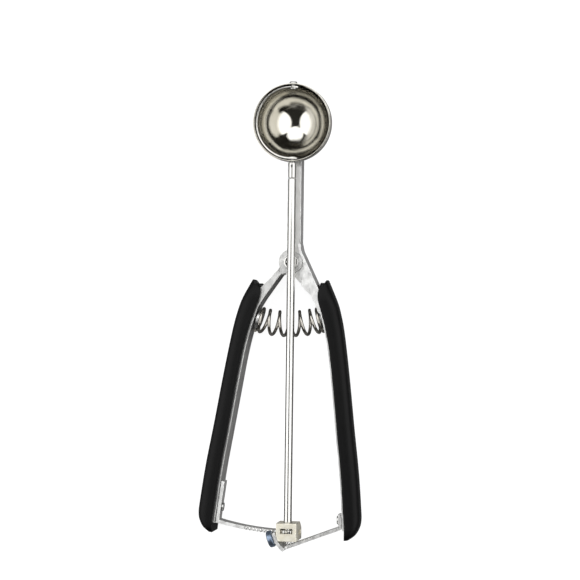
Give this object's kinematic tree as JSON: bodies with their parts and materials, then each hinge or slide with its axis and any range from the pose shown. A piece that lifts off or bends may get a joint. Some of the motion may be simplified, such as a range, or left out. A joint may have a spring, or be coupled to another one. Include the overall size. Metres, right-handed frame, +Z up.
{
  "type": "squeeze cookie scoop",
  "caption": "Squeeze-handled scoop with a round bowl, a sweeping wiper turned by a rack and pinion, a coil return spring and rubber grips.",
  "frame": {"origin": "middle of the footprint, on the surface that the scoop lies on", "axes": "+Y from the handles to the bowl, +Z up out of the bowl's mouth, +X to the right when the bowl points away"},
  "size_m": [0.0824, 0.2344, 0.0257],
  "materials": {
    "polished_steel": "mirror-polished stainless steel",
    "satin_steel": "bright satin stainless steel",
    "cast_metal": "cast metal, nickel plated, warm bright surface",
    "blued_steel": "blue-grey steel",
    "spring_steel": "bright drawn wire",
    "black_rubber": "matt black rubber"
  },
  "bodies": {
    "right_handle": {"right_frame": "satin_steel", "bowl": "polished_steel", "wiper_tip_pin": "polished_steel", "right_grip": "black_rubber", "right_spring_stud": "satin_steel", "hinge_rivet": "satin_steel", "spring": "spring_steel", "stay_arm": "satin_steel", "stay_arm_rivet": "satin_steel", "stay_screw": "blued_steel", "gear_housing": "cast_metal"},
    "left_handle": {"left_frame": "satin_steel", "left_grip": "black_rubber", "left_spring_stud": "satin_steel", "rack_arm": "satin_steel", "rack_arm_rivet": "satin_steel"},
    "wiper_rod": {"rod": "polished_steel", "wiper_shank": "polished_steel", "wiper": "polished_steel", "pinion": "satin_steel", "pinion_pin": "satin_steel", "rod_end_clip": "satin_steel"}
  },
  "joints": [
    {"name": "squeeze", "type": "hinge", "parent": "right_handle", "child": "left_handle", "pos_m": [0.00454, 0.02701, 0.0098], "axis": [0, 0, 1], "range_deg": [0, 3.8], "stiffness_Nm_per_rad": 9, "springref_deg": -2.58, "deforming": ["spring"]},
    {"name": "wiper_turn", "type": "hinge", "parent": "right_handle", "child": "wiper_rod", "pos_m": [0.00504, 0.09651, 0.0196], "axis": [0, -1, 0], "range_deg": [0, 172]}
  ],
  "couplings": [
    {"joint": "wiper_turn", "follows": "squeeze", "ratio": 45.171}
  ]
}
